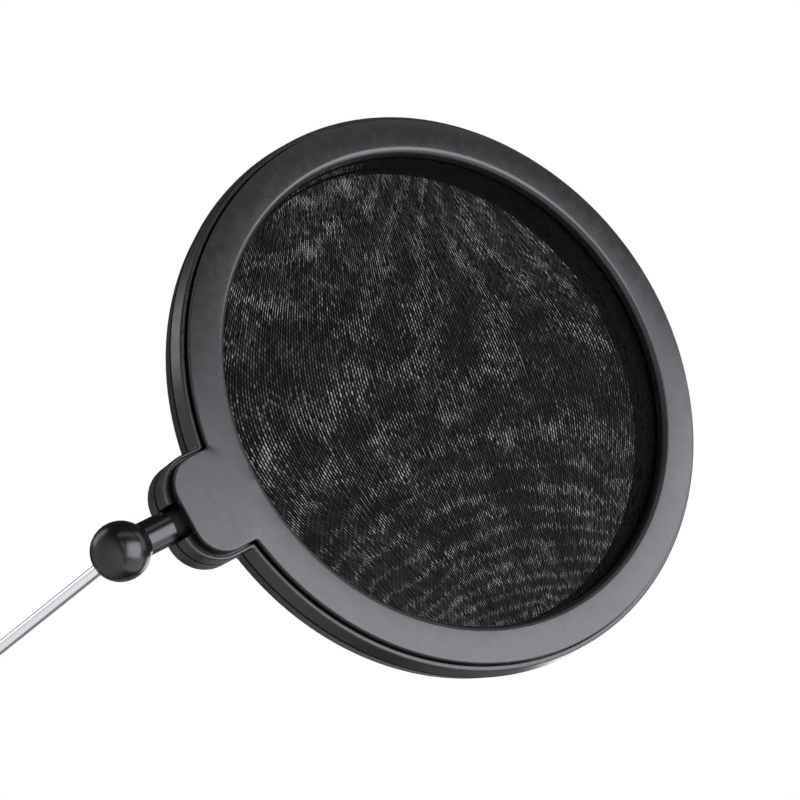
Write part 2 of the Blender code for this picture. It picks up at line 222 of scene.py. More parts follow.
def mesh_of(name, points, faces):
    """A mesh whose doubled points are merged and whose faces all point out."""
    mesh = bpy.data.meshes.new(name)
    mesh.from_pydata(points, [], faces)
    mesh.validate()
    bm = bmesh.new()
    bm.from_mesh(mesh)
    bmesh.ops.remove_doubles(bm, verts=bm.verts, dist=MERGE)
    bmesh.ops.recalc_face_normals(bm, faces=bm.faces)
    bm.to_mesh(mesh)
    bm.free()
    return mesh


def loft(name, stations):
    """A closed skin over outlines, each (its points, its depth), that closes on itself."""
    count = len(stations[0][0])
    points = [(x, y, depth) for outline, depth in stations for x, y in outline]
    rows = len(stations)
    faces = []
    for row in range(rows):
        a, b = row * count, (row + 1) % rows * count
        faces += [(a + i, a + (i + 1) % count, b + (i + 1) % count, b + i) for i in range(count)]
    return mesh_of(name, points, faces)


def eased(profile, radius, closed=True):
    """A profile with its corners rounded, by less where a side is short. Gentle bends stay as they are."""
    steps, gentlest, side_share, on_axis = 3, math.radians(25), 0.45, 1e-6
    out = []
    count = len(profile)
    for i, point in enumerate(profile):
        here = Vector(point)
        if not closed and i in (0, count - 1):
            out.append(tuple(here))
            continue
        before, after = Vector(profile[i - 1]) - here, Vector(profile[(i + 1) % count]) - here
        turn = math.pi - before.angle(after, math.pi)
        if turn < gentlest or here.x < on_axis:
            out.append(tuple(here))
            continue
        reach = min(radius * math.tan(turn / 2), side_share * before.length, side_share * after.length)
        start, end = here + before.normalized() * reach, here + after.normalized() * reach
        for k in range(steps + 1):
            t = k / steps
            out.append(tuple(start * (1 - t) ** 2 + here * 2 * t * (1 - t) + end * t**2))
    return out


def lathe(name, profile, segments=SEGMENTS, ease=0.0):
    """A solid turned about +Z, of a closed profile of (radius, height) that may have its ends on the axis."""
    on_axis = profile[0][0] == 0 and profile[-1][0] == 0
    if ease:
        profile = eased(profile, ease, closed=not on_axis)
    count = len(profile)
    points, faces = [], []
    for i in range(segments):
        turn = 2 * math.pi * i / segments
        points += [(r * math.cos(turn), r * math.sin(turn), h) for r, h in profile]
    for i in range(segments):
        a, b = i * count, (i + 1) % segments * count
        faces += [(a + k, b + k, b + (k + 1) % count, a + (k + 1) % count) for k in range(count - on_axis)]
    return mesh_of(name, points, faces)


def tube(outer, inner, top, low):
    """The profile of a plain ring."""
    return [(inner, top), (outer, top), (outer, low), (inner, low)]


def quarter(radius, top, steps):
    """The (angle, depth) steps of a rounded outer edge, from the face to the side."""
    angles = [math.pi / 2 * (1 - i / steps) for i in range(steps + 1)]
    return [(a, top - radius * (1 - math.sin(a))) for a in angles]


def box_mesh(name, low, high):
    """A box between two opposite corners."""
    bm = bmesh.new()
    bmesh.ops.create_cube(bm, size=1)
    low, high = Vector(low), Vector(high)
    place = Matrix.LocRotScale((low + high) / 2, None, high - low)
    bmesh.ops.transform(bm, matrix=place, verts=bm.verts)
    mesh = bpy.data.meshes.new(name)
    bm.to_mesh(mesh)
    bm.free()
    return mesh


def placed(mesh, place):
    """A new object of the mesh, where place puts it."""
    obj = bpy.data.objects.new(mesh.name, mesh)
    bpy.context.scene.collection.objects.link(obj)
    obj.matrix_world = place
    return obj


def carve(obj, operation, *cutters):
    """Cuts or joins the cutters, each (mesh, place), and keeps the result as the object's own mesh."""
    helpers = [placed(mesh, place) for mesh, place in cutters]
    for helper in helpers:
        modifier = obj.modifiers.new(helper.name, "BOOLEAN")
        modifier.operation = operation
        modifier.object = helper
    bpy.context.view_layer.update()
    graph = bpy.context.evaluated_depsgraph_get()
    solid = bpy.data.meshes.new_from_object(obj.evaluated_get(graph))
    obj.modifiers.clear()
    obj.data = solid
    for helper in helpers:
        bpy.data.objects.remove(helper)


def piece(obj, material, slot, body, *nodes):
    """Gives a finished shape its material, smooth shading, body and the CAD nodes that it stands for."""
    obj.data.materials.clear()
    obj.data.materials.append(material)
    obj.data.shade_smooth()
    obj.data.set_sharp_from_angle(angle=CREASE)
    normals = obj.modifiers.new("even_normals", "WEIGHTED_NORMAL")
    normals.keep_sharp = True
    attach(obj, body)
    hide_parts(*nodes)


# ---------------------------------------------------------------- materials


class Graph:
    """A material whose nodes are written as arithmetic."""

    def __init__(self, name, colour, roughness, metallic=0.0, **values):
        self.material = bpy.data.materials.new(name)
        self.material.use_nodes = True
        self.tree = self.material.node_tree
        self.shader = self.tree.nodes["Principled BSDF"]
        self.shader.inputs["Base Color"].default_value = (*colour, 1)
        self.shader.inputs["Roughness"].default_value = roughness
        self.shader.inputs["Metallic"].default_value = metallic
        for socket, value in values.items():
            self.shader.inputs[socket.replace("_", " ")].default_value = value
        self.place = self.node("ShaderNodeTexCoord").outputs["Object"]

    def node(self, kind, inputs=(), **settings):
        """A new node with its inputs, by name or number, and its settings."""
        made = self.tree.nodes.new(kind)
        for setting, value in settings.items():
            setattr(made, setting, value)
        for socket, value in dict(inputs).items():
            self.put(made.inputs[socket], value)
        return made

    def put(self, socket, value):
        """Links an output to the socket, or sets the socket to a plain value."""
        if isinstance(value, bpy.types.NodeSocket):
            self.tree.links.new(value, socket)
        else:
            socket.default_value = value

    def math(self, operation, *values):
        return self.node("ShaderNodeMath", enumerate(values), operation=operation).outputs[0]

    def noise(self, size, detail=2.0, vector=None, channel="Fac"):
        """Noise whose features are about size across, in metres."""
        settings = {"Vector": vector or self.place, "Scale": 1 / size, "Detail": detail}
        return self.node("ShaderNodeTexNoise", settings).outputs[channel]

    def ranged(self, value, low, high, to_low, to_high):
        """The value moved in proportion from low to high onto to_low to to_high, and held at those ends."""
        limits = {"Value": value, "From Min": low, "From Max": high, "To Min": to_low, "To Max": to_high}
        return self.node("ShaderNodeMapRange", limits).outputs["Result"]

    def shade(self, value, dark, light):
        """A colour between two, by a value from 0 to 1."""
        ramp = self.node("ShaderNodeValToRGB", {"Fac": value})
        ramp.color_ramp.elements[0].color = (*dark, 1)
        ramp.color_ramp.elements[1].color = (*light, 1)
        return ramp.outputs["Color"]

    def bump(self, height, depth, strength=1.0):
        """Relief of this depth in metres, for a height from 0 to 1."""
        settings = {"Height": height, "Distance": depth, "Strength": strength}
        return self.node("ShaderNodeBump", settings).outputs["Normal"]

    def set(self, **sockets):
        """Gives the shader's own sockets their outputs or values. A name's spaces are written as _."""
        for socket, value in sockets.items():
            self.put(self.shader.inputs[socket.replace("_", " ")], value)


def grey(value, warmth=0.0):
    """A grey, with a share more red and less blue where it is warm."""
    return (value * (1 + warmth), value, value * (1 - warmth))


def moulded(name, dark, light, smooth, rough):
    """Moulded plastic: a fine spark-eroded grain, and slow drifts of colour and of gloss."""
    grain, relief = 0.12 * MM, 0.004 * MM
    patch, smudge = 14 * MM, 3 * MM
    graph = Graph(name, light, rough, IOR=1.5)
    drift = graph.noise(patch, detail=3)
    fine = graph.noise(grain, detail=1.5)
    handling = graph.noise(smudge, detail=5)
    graph.set(
        Base_Color=graph.shade(drift, dark, light),
        Roughness=graph.ranged(handling, 0.35, 0.65, smooth, rough),
        Normal=graph.bump(fine, relief),
    )
    return graph.material


def brushed(name, dark, light, smooth, rough, streak, relief=0.0006 * MM):
    """Metal with fine streaks. streak is the size of the grain along x, y and z."""
    graph = Graph(name, light, rough, metallic=1.0)
    stretch = graph.node("ShaderNodeMapping", {"Vector": graph.place, "Scale": [1 / s for s in streak]})
    lines = graph.noise(1.0, detail=3, vector=stretch.outputs["Vector"])
    patches = graph.noise(4 * MM, detail=2)
    graph.set(
        Base_Color=graph.shade(patches, dark, light),
        Roughness=graph.ranged(lines, 0.3, 0.7, smooth, rough),
        Normal=graph.bump(lines, relief),
    )
    return graph.material


def knit(name, lean, drift, seed, hole_cover, thread_cover):
    """See-through warp knit: pairs of ribs with staggered holes between their stitches.

    lean is the ribs' angle from the screen's own x, in radians, and drift is how far the fabric wanders, in mm.
    The knit hides a share of what is behind it: hole_cover in the middle of a hole, thread_cover away from one.
    Lengths in here are in mm, apart from the sizes of noises and the depth of the relief.
    """
    rib, course = 0.875, 1.45  # from rib to rib, and from stitch to stitch along a rib
    wander_size, shiver_size, patch_size = 25 * MM, 3.5 * MM, 9 * MM
    shiver_reach = 0.22
    tightening = 2.26e-4  # of the ribs, with the square of the distance along them
    count_from = 400.0  # an even number of ribs, which keeps the count above 0
    narrowest, width_spread, odd_narrowing = 0.05, 0.24, -0.05  # of a hole, in ribs either side of its middle
    shortest, length_spread = 0.40, 0.10  # of a hole, in courses either side of its middle
    graph = Graph(name, grey(0.008), 0.55, IOR=1.5, Specular_IOR_Level=0.04)
    away = graph.node("ShaderNodeMapping", {"Vector": graph.place, "Location": (seed, seed, 0)})
    away = away.outputs["Vector"]
    wander = graph.node("ShaderNodeSeparateColor", {0: graph.noise(wander_size, 1.0, away, "Color")})
    shiver = graph.node("ShaderNodeSeparateColor", {0: graph.noise(shiver_size, 1.5, away, "Color")})
    axes = graph.node("ShaderNodeSeparateXYZ", {0: graph.place})
    x = graph.math("MULTIPLY", axes.outputs["X"], 1 / MM)
    y = graph.math("MULTIPLY", axes.outputs["Y"], 1 / MM)

    def swept(reach, a, b, channel):
        """Distance along the direction (a, b), moved by the fabric's wander, which is reach drifts wide."""
        straight = graph.math("MULTIPLY_ADD", x, a, graph.math("MULTIPLY", y, b))
        slow = graph.math("MULTIPLY", graph.math("SUBTRACT", wander.outputs[channel], 0.5), drift * reach)
        quick = graph.math("MULTIPLY", graph.math("SUBTRACT", shiver.outputs[channel], 0.5), shiver_reach)
        return graph.math("ADD", straight, graph.math("ADD", slow, quick))

    across = swept(1.0, -math.sin(lean), math.cos(lean), 0)
    along = swept(1.4, math.cos(lean), math.sin(lean), 1)
    pull = graph.math("MULTIPLY_ADD", graph.math("MULTIPLY", along, along), tightening, 1.0)
    ribs = graph.math("DIVIDE", graph.math("MULTIPLY", across, pull), rib)
    rib_index = graph.math("FLOOR", ribs)
    odd = graph.math("MODULO", graph.math("ADD", rib_index, count_from), 2.0)
    courses = graph.math("ADD", graph.math("DIVIDE", along, course), graph.math("MULTIPLY", odd, 0.5))
    course_index = graph.math("FLOOR", courses)
    stitch = graph.node("ShaderNodeCombineXYZ", {0: rib_index, 1: course_index, 2: seed})
    chance = graph.node("ShaderNodeTexWhiteNoise", {"Vector": stitch.outputs[0]}).outputs["Value"]
    side = graph.math("SUBTRACT", graph.math("FRACT", ribs), 0.5)
    end = graph.math("SUBTRACT", graph.math("FRACT", courses), 0.5)
    patchy = graph.ranged(graph.noise(patch_size, 5.0, away), 0.35, 0.65, 0.35, 1.45)
    width = graph.math("MULTIPLY_ADD", odd, odd_narrowing, narrowest)
    width = graph.math("MULTIPLY_ADD", chance, width_spread, width)
    width = graph.math("MULTIPLY", width, patchy)
    length = graph.math("MULTIPLY_ADD", chance, length_spread, shortest)
    hole = graph.math(
        "ADD",
        graph.math("POWER", graph.math("DIVIDE", side, width), 2.0),
        graph.math("POWER", graph.math("DIVIDE", end, length), 2.0),
    )
    cover = graph.ranged(hole, 0.5, 1.5, hole_cover, thread_cover)
    crest = graph.math("ABSOLUTE", graph.math("MULTIPLY", side, 2.0))
    loops = graph.math("MULTIPLY", graph.math("ABSOLUTE", graph.math("MULTIPLY", end, 2.0)), crest)
    # painted highlight: the thread colour lightens with the loops' relief, so their raised crests read lighter
    graph.set(
        Base_Color=graph.shade(loops, grey(0.0004), grey(0.0018)),
        Roughness=graph.ranged(chance, 0.0, 1.0, 0.45, 0.65),
        Normal=graph.bump(loops, 0.12 * MM, 0.6),
        Alpha=cover,
    )
    return graph.material


SATIN_BLACK = moulded("satin_black", grey(0.009), grey(0.012), 0.24, 0.29)
HOUSING_BLACK = moulded("housing_black", grey(0.007), grey(0.010), 0.26, 0.32)
# painted shade: a darker, rough black for the stem's neck inside the slot, so that it reads as shaded in the
# recess
NECK_SHADE_BLACK = moulded("neck_painted_shade", grey(0.001), grey(0.002), 0.80, 0.90)
GLOSS_BLACK = moulded("gloss_black", grey(0.003), grey(0.005), 0.22, 0.27)
HOOP_BLACK = moulded("hoop_black", grey(0.04), grey(0.06), 0.40, 0.50)
ACETAL = moulded("natural_acetal", grey(0.62, 0.02), grey(0.70, 0.02), 0.32, 0.42)
STEEL = brushed("bright_steel", grey(0.48), grey(0.60), 0.22, 0.38, (0.05 * MM, 0.6 * MM, 0.6 * MM))
CHROME = brushed("chrome_plate", grey(0.90), grey(0.95), 0.05, 0.09, (0.3 * MM, 0.3 * MM, 8 * MM), 0.0001 * MM)
KNIT_FRONT = knit("knit_front", math.radians(-11.6), 0.7, 0.3, 0.0, 1.0)
KNIT_REAR = knit("knit_rear", math.radians(14.5), 0.6, 1.7, 0.62, 0.92)


# ---------------------------------------------------------------- rings


def bezel(side, place, radius, fillet):
    """The clip-on face ring with its crowned face, rounded mouth, locating skirt and the tab over the boss."""
    nick = 0.2 * MM  # of the chamfers that don't show
    mouth_steps, face_steps, edge_steps = 12, 14, 8

    def rim(inset=0.0):
        return tabbed_ring(BEZEL_RADIUS, TAB_HALF_WIDTH, TAB_BOTTOM, TAB_CORNER, inset)

    base = rim()
    mouth = arc(fillet, math.pi, math.pi / 2, mouth_steps, (radius + fillet, FACE - fillet))
    stations = [(ring_like(base, r), d) for r, d in mouth]
    inner, outer = stations[-1][0], rim(BEZEL_EDGE)
    for k in range(1, face_steps):
        across = [tuple(Vector(a).lerp(Vector(b), k / face_steps)) for a, b in zip(inner, outer)]
        stations.append((across, FACE))
    stations += [(rim(BEZEL_EDGE * (1 - math.cos(a))), d) for a, d in quarter(BEZEL_EDGE, FACE, edge_steps)]
    stations += [(rim(), PLATE_BACK + nick), (rim(nick), PLATE_BACK)]
    inside = [
        (SKIRT_RADIUS, PLATE_BACK),
        (SKIRT_RADIUS, SKIRT_BACK + nick),
        (SKIRT_RADIUS - nick, SKIRT_BACK),
        (SKIRT_INNER_RADIUS + nick, SKIRT_BACK),
        (SKIRT_INNER_RADIUS, SKIRT_BACK + nick),
        (SKIRT_INNER_RADIUS, PLATE_BACK),
        (radius + LIP_THICKNESS, PLATE_BACK),
        (radius + LIP_THICKNESS, LIP_BACK + nick),
        (radius + LIP_THICKNESS - nick, LIP_BACK),
        (radius + nick, LIP_BACK),
        (radius, LIP_BACK + nick),
    ]
    stations += [(ring_like(base, r), d) for r, d in inside]
    ring = placed(loft(side + "_bezel_ring", stations), place)
    for vertex in ring.data.vertices:
        if vertex.co.z > PLATE_BACK + 2 * nick:
            vertex.co.z -= crown_drop(vertex.co.x, vertex.co.y)
    piece(ring, SATIN_BLACK, "black_plastic", "screen", side + "_bezel")


def crown_drop(x, y):
    """How far the face falls away from its crown, which runs out into the flat of the tab."""
    drop = (math.hypot(x, y) - CROWN_PEAK) ** 2 / (2 * CROWN_RADIUS)
    into_tab = -y - CROWN_END_Y - CROWN_END_SLOPE * (abs(x) - CROWN_END_X)
    share = min(1.0, max(0.0, 0.5 + into_tab / CROWN_RUN_OUT))
    return drop * (1 - share * share * (3 - 2 * share))


def housing(side, place, slotted):
    """One half of the body: the band, the web that the mesh lies on, and its half of the boss."""
    edge, lip, nick = 0.45 * MM, 0.3 * MM, 0.15 * MM
    edge_steps, lip_steps = 8, 4
    seam, seam_depth, seam_chamfer = HALF_GAP + 0.35 * MM, 0.6 * MM, 0.1 * MM
    wall = CHANNEL_RADIUS - 0.02 * MM  # just inside the channel's edge, where the tray's floor starts

    def rim(inset, depth):
        share = (BAND_FRONT - depth) / (BAND_FRONT - HALF_GAP)
        radius = BAND_FRONT_RADIUS + (BAND_SEAM_RADIUS - BAND_FRONT_RADIUS) * share
        return tabbed_ring(radius, BOSS_HALF_WIDTH, BOSS_BOTTOM, BOSS_CORNER, inset)

    def tray(widened):
        """The outline of the space that takes the bezel and its tab."""
        sizes = (BOSS_HALF_WIDTH - BOSS_WALL, BOSS_BOTTOM + BOSS_WALL, BOSS_CORNER - BOSS_WALL)
        return tabbed_ring(CHANNEL_RADIUS, *sizes, -widened)

    base = rim(0.0, BAND_FRONT)
    stations = []
    for a, d in quarter(edge, BAND_FRONT, edge_steps):
        stations.append((rim(edge * (1 - math.cos(a)), d), d))
    above_seam = seam + seam_chamfer
    stations += [(rim(0.0, above_seam), above_seam), (rim(seam_chamfer, seam), seam)]
    stations += [(rim(seam_depth, seam), seam), (rim(seam_depth, HALF_GAP), HALF_GAP)]
    inside = [
        (BAND_SEAM_RADIUS - BAND_THICKNESS, HALF_GAP),
        (BAND_SEAM_RADIUS - BAND_THICKNESS, WEB_BACK),
        (WINDOW_RADIUS + WINDOW_WALL, WEB_BACK),
        (WINDOW_RADIUS + WINDOW_WALL, HALF_GAP),
        (WINDOW_RADIUS, HALF_GAP),
        (WINDOW_RADIUS, WEB_FRONT - nick),
        (WINDOW_RADIUS + nick, WEB_FRONT),
        (wall, WEB_FRONT),
        (wall, BOSS_FLOOR),
    ]
    stations += [(ring_like(base, r), d) for r, d in inside]
    stations += [(tray(0.0), BOSS_FLOOR)]
    for a, d in reversed(quarter(lip, BAND_FRONT, lip_steps)):
        stations.append((tray(lip * (1 - math.cos(a))), d))
    ring = placed(loft(side + "_body_shell", stations), place)
    pocket = [(0, POCKET_TOP), (POCKET_RADIUS, POCKET_TOP), (POCKET_RADIUS, POCKET_LOW)]
    pocket += [(OPENING_RADIUS, POCKET_LOW), (OPENING_RADIUS, BOSS_BOTTOM - MM), (0, BOSS_BOTTOM - MM)]
    cutters = [(lathe(side + "_bearing", pocket, SMALL_SEGMENTS), STEM)]
    hole = [(0, FACE), (HEAD_HOLE_RADIUS, FACE), (HEAD_HOLE_RADIUS, HEAD_SEAT), (SCREW_HOLE_RADIUS, HEAD_SEAT)]
    hole += [(SCREW_HOLE_RADIUS, -PILOT_DEPTH), (0, -PILOT_DEPTH)]
    for x in (-SCREW_X, SCREW_X):
        cutters.append((lathe(side + "_screw_hole", hole, 48), FORWARD @ Matrix.Translation((x, SCREW_Z, 0))))
    if slotted:
        low, high = (-OPENING_RADIUS, BOSS_BOTTOM - MM, -MM), (OPENING_RADIUS, SLOT_TOP, BAND_FRONT + MM)
        cutters.append((box_mesh("stem_slot", low, high), place))
    carve(ring, "DIFFERENCE", *cutters)
    piece(ring, HOUSING_BLACK, "black_plastic", "screen", side + "_housing")


def mesh_sheet(side, place, material, seed):
    """The knitted disc, drawn tight over its hoop, with the slight unevenness that stretching leaves."""
    rings, spokes = 60, 240
    wave, margin, most = 0.018, 0.01, 0.1 * MM  # of the unevenness, which fades over the margin to the edge
    middle = (MESH_FRONT + MESH_BACK) / 2
    points = [(0.0, 0.0, middle)]
    for i in range(1, rings + 1):
        radius = MESH_RADIUS * i / rings
        for k in range(spokes):
            turn = 2 * math.pi * k / spokes
            x, y = radius * math.cos(turn), radius * math.sin(turn)
            free = min(1.0, (MESH_RADIUS - radius) / margin)
            uneven = noise.noise(Vector((x / wave, y / wave, seed))) * free
            points.append((x, y, middle + most * uneven))
    faces = [(0, 1 + k, 1 + (k + 1) % spokes) for k in range(spokes)]
    for i in range(rings - 1):
        a, b = 1 + i * spokes, 1 + (i + 1) * spokes
        faces += [(a + k, b + k, b + (k + 1) % spokes, a + (k + 1) % spokes) for k in range(spokes)]
    cloth = placed(mesh_of(side + "_mesh_knit", points, faces), place)
    cloth.data.materials.append(material)
    cloth.data.shade_smooth()
    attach(cloth, "screen")
    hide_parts(side + "_mesh")


def hoop(side, place):
    """The ring that keeps a mesh tight, under its bezel."""
    profile = tube(HOOP_RADIUS, HOOP_RADIUS - HOOP_THICKNESS, HOOP_FRONT, HOOP_BACK)
    ring = placed(lathe(side + "_mesh_hoop", profile, 256, 0.35 * MM), place)
    piece(ring, HOOP_BLACK, "hoop_plastic", "screen", side + "_hoop")


# ---------------------------------------------------------------- boss fittings


def boss_screw(side, x):
    """A pan-head screw with a cross recess."""
    low, high = depth_range("boss_screw_" + side)
    shank, head, head_height = 1.0 * MM, half_width("boss_screw_" + side), 1.4 * MM
    seat = high - head_height
    thread_top, thread_end = seat - 1.2 * MM, low + 0.2 * MM
    pitch, thread = 0.5 * MM, 0.15 * MM
    profile = [(0, high), (0.55 * head, high), (0.9 * head, high - 0.35 * MM), (head, high - 0.8 * MM)]
    profile += [(head, seat), (shank, seat)]
    for i in range(int((thread_top - low) / pitch)):
        top = thread_top - i * pitch
        profile += [(shank - thread, top), (shank, top - pitch / 2)]
    profile += [(shank - thread, thread_end), (0.4 * shank, low), (0, low)]
    place = FORWARD @ Matrix.Translation((x, SCREW_Z, 0))
    screw = placed(lathe("screw_" + side, profile, 64), place)
    wing, slot_width, floor, top = 1.1 * MM, 0.2 * MM, high - 0.8 * MM, high + 0.1 * MM
    carve(
        screw,
        "DIFFERENCE",
        (box_mesh("recess_a", (-wing, -slot_width, floor), (wing, slot_width, top)), place),
        (box_mesh("recess_b", (-slot_width, -wing, floor), (slot_width, wing, top)), place),
    )
    piece(screw, STEEL, "spring_steel", "screen", "boss_screw_" + side)


def bush(side, sign):
    """Half of the split bush that the stem turns in, in front of the mid-plane or behind it."""
    ring = tube(BUSH_RADIUS, JOURNAL_RADIUS + GAP, BUSH_HIGH, BUSH_LOW)
    half = placed(lathe("bush_half_" + side, ring, SMALL_SEGMENTS, 0.2 * MM), STEM)
    reach = 2 * BUSH_RADIUS
    near, far = sorted((sign * HALF_GAP, sign * reach))
    keep = box_mesh("keep_" + side, (-reach, near, BUSH_LOW - MM), (reach, far, BUSH_HIGH + MM))
    carve(half, "INTERSECT", (keep, STEM))
    piece(half, ACETAL, "acetal", "screen", "bush_" + side)


def stem_fittings():
    """The friction washer under the bush and the clip over it."""
    washer = tube(BUSH_RADIUS - GAP, JOURNAL_RADIUS + GAP, WASHER_HIGH, WASHER_LOW)
    washer = placed(lathe("washer", washer, SMALL_SEGMENTS, 0.1 * MM), STEM)
    piece(washer, STEEL, "spring_steel", "socket", "friction_washer")
    clip = tube(BUSH_RADIUS - GAP, CLIP_GROOVE_RADIUS + GAP, CLIP_HIGH, CLIP_LOW)
    clip = placed(lathe("e_clip", clip, SMALL_SEGMENTS, 0.12 * MM), STEM)
    width = CLIP_GROOVE_RADIUS
    mouth = box_mesh("clip_mouth", (-width, -2 * BUSH_RADIUS, CLIP_LOW - MM), (width, 0, CLIP_HIGH + MM))
    carve(clip, "DIFFERENCE", (mouth, STEM))
    piece(clip, STEEL, "spring_steel", "socket", "stem_clip")


# ---------------------------------------------------------------- ball joint


def stem():
    """The stem and its ball shell in one moulding, hollowed for the seats."""
    up = -STEM_REACH
    join = math.acos(SHANK_RADIUS / SHELL_RADIUS)
    blend, blend_turn, swell = 0.5 * MM, 0.08, 0.08 * MM  # of the shank into the shell; the turn is in radians
    shell = arc(SHELL_RADIUS, join - blend_turn, -math.pi / 2, 72, (0, up))
    shell_top = up + SHELL_RADIUS * math.sin(join)
    profile = [
        (0, JOURNAL_TOP),
        (JOURNAL_RADIUS, JOURNAL_TOP),
        (JOURNAL_RADIUS, CLIP_HIGH + GAP / 2),
        (CLIP_GROOVE_RADIUS, CLIP_HIGH + GAP / 2),
        (CLIP_GROOVE_RADIUS, CLIP_LOW - GAP / 2),
        (JOURNAL_RADIUS, CLIP_LOW - GAP / 2),
        (JOURNAL_RADIUS, NECK_TOP),
        (NECK_RADIUS, NECK_TOP),
        (NECK_RADIUS, SHANK_TOP),
        (SHANK_RADIUS, SHANK_TOP),
    ]
    profile = eased(profile, 0.25 * MM, closed=False)
    profile += [(SHANK_RADIUS, shell_top + blend), (SHANK_RADIUS + swell, shell_top + 0.4 * blend)]
    profile += shell[:-1] + [(0, up - SHELL_RADIUS)]
    body = placed(lathe("stem_and_shell", profile), STEM)
    rim = SEAM_HEIGHT - GAP / 2
    reach = SHELL_RADIUS + GAP
    hollow = [(0, reach), (reach, reach), (reach, rim + 0.1 * MM), (SHELL_RADIUS - 0.35 * MM, rim)]
    pocket_edge = -math.acos(SPRING_POCKET_RADIUS / SOCKET_RADIUS)
    hollow += [(SOCKET_RADIUS, rim), *arc(SOCKET_RADIUS, 0, pocket_edge, 16)]
    hollow += [(SPRING_POCKET_RADIUS, SPRING_POCKET_FLOOR), (0, SPRING_POCKET_FLOOR)]
    carve(body, "DIFFERENCE", (lathe("hollow", hollow), ROD))
    piece(body, GLOSS_BLACK, "gloss_plastic", "socket", "ball_stem")
    # painted shade: the neck above the shank gets the darker black, which stands in for the shade in the slot
    body.data.materials.append(NECK_SHADE_BLACK)
    for face in body.data.polygons:
        face.material_index = int(face.center.z > SHANK_TOP + 0.1 * MM)


def cap():
    """The cap with the flared mouth that lets the rod tilt."""
    low = SEAM_HEIGHT + GAP / 2

    def reach(height):
        """The radius that the tilting rod needs at a height."""
        return height * math.tan(TILT) + ROD_RADIUS / math.cos(TILT) + GAP

    mouth = reach(SHELL_RADIUS)
    top = arc(SHELL_RADIUS, math.acos(mouth / SHELL_RADIUS), math.asin(low / SHELL_RADIUS), 28)
    profile = [*top, (reach(low), low)]
    shape = placed(lathe("socket_cap", profile, SEGMENTS, 0.15 * MM), ROD)
    piece(shape, GLOSS_BLACK, "gloss_plastic", "socket", "ball_cap")


def rod_and_ball():
    """The polished rod, and the drilled ball on its end."""
    bore = ROD_RADIUS + GAP
    ball = [(0, BORE_FLOOR), (bore, BORE_FLOOR)]
    ball += arc(BALL_RADIUS, math.acos(bore / BALL_RADIUS), -math.pi / 2, 48)[:-1]
    ball = placed(lathe("bright_ball", [*ball, (0, -BALL_RADIUS)], 128), ROD)
    piece(ball, STEEL, "spring_steel", "joint_ball", "rod_ball")
    chamfer, base, stretches = 0.3 * MM, BORE_FLOOR + GAP, 12
    bar = [(0, ROD_LENGTH), (ROD_RADIUS - chamfer, ROD_LENGTH), (ROD_RADIUS, ROD_LENGTH - chamfer)]
    bar += [(ROD_RADIUS, ROD_LENGTH * i / stretches) for i in range(stretches - 1, 0, -1)]
    bar += [(ROD_RADIUS, base), (0, base)]
    bar = placed(lathe("chrome_rod", bar, SMALL_SEGMENTS), ROD)
    piece(bar, CHROME, "chrome", "arm", "rod")


def seats():
    """The two cups that hold the ball, and the dished spring washer behind the inner one."""
    edge = 0.2 * MM
    cup, inside = -math.asin(edge / SEAT_OUTER_RADIUS), -math.asin(edge / SEAT_INNER_RADIUS)
    down = -math.pi / 2
    inner = [(0, -SEAT_INNER_RADIUS), *arc(SEAT_INNER_RADIUS, down, inside, 24)[1:]]
    inner += [*arc(SEAT_OUTER_RADIUS, cup, down, 24)[:-1], (0, -SEAT_OUTER_RADIUS)]
    piece(placed(lathe("seat_cup", inner, SMALL_SEGMENTS), ROD), ACETAL, "acetal", "socket", "inner_seat")
    top = SEAM_HEIGHT - GAP
    outer = arc(SEAT_INNER_RADIUS, -inside, math.asin(top / SEAT_INNER_RADIUS), 12)
    outer += [(SEAT_OUTER_RADIUS, top), (SEAT_OUTER_RADIUS, edge)]
    piece(placed(lathe("seat_ring", outer, SMALL_SEGMENTS), ROD), ACETAL, "acetal", "socket", "outer_seat")
    spring = [(SPRING_HOLE_RADIUS, SPRING_TOP), (SPRING_RADIUS, SPRING_TOP - SPRING_DISH)]
    spring += [(r, h - SPRING_THICKNESS) for r, h in reversed(spring)]
    spring = placed(lathe("dished_washer", spring, SMALL_SEGMENTS, 0.08 * MM), ROD)
    piece(spring, STEEL, "spring_steel", "socket", "seat_spring")


# ---------------------------------------------------------------- studio


def camera():
    """A view from below and in front of the screen, rolled so that the stem leads down to the left."""
    data = bpy.data.cameras.new("camera")
    data.lens, data.sensor_width = 90, 36
    data.clip_start, data.clip_end = 0.01, 20
    cam = bpy.data.objects.new("camera", data)
    bpy.context.scene.collection.objects.link(cam)
    away = Vector((30.4, -437.9, -303.0)) * MM
    right = Vector((0.4817, -0.4572, 0.7476))
    back = right.cross(Vector((-0.8741, -0.3117, 0.3725))).normalized()
    turn = Matrix((right, back.cross(right), back)).transposed().to_4x4()
    cam.matrix_world = Matrix.Translation(SCREEN_CENTRE + away) @ turn
    bpy.context.scene.camera = cam


def softbox(name, direction, width, height, radiance, lean=0.0):
    """An area light that faces the screen's centre. lean turns it about its own axis."""
    data = bpy.data.lights.new(name, "AREA")
    data.shape = "RECTANGLE"
    data.size, data.size_y = width, height
    data.energy = radiance * math.pi * width * height
    data.color = LIGHT_COLOUR
    lamp = bpy.data.objects.new(name, data)
    bpy.context.scene.collection.objects.link(lamp)
    away = Vector(direction).normalized()
    side = Vector((math.cos(lean), 0, math.sin(lean)))
    side = (side - side.dot(away) * away).normalized()
    turn = Matrix((side, away.cross(side), away)).transposed().to_4x4()
    lamp.matrix_world = Matrix.Translation(SCREEN_CENTRE + away * LIGHT_DISTANCE) @ turn
    lamp.visible_camera = False


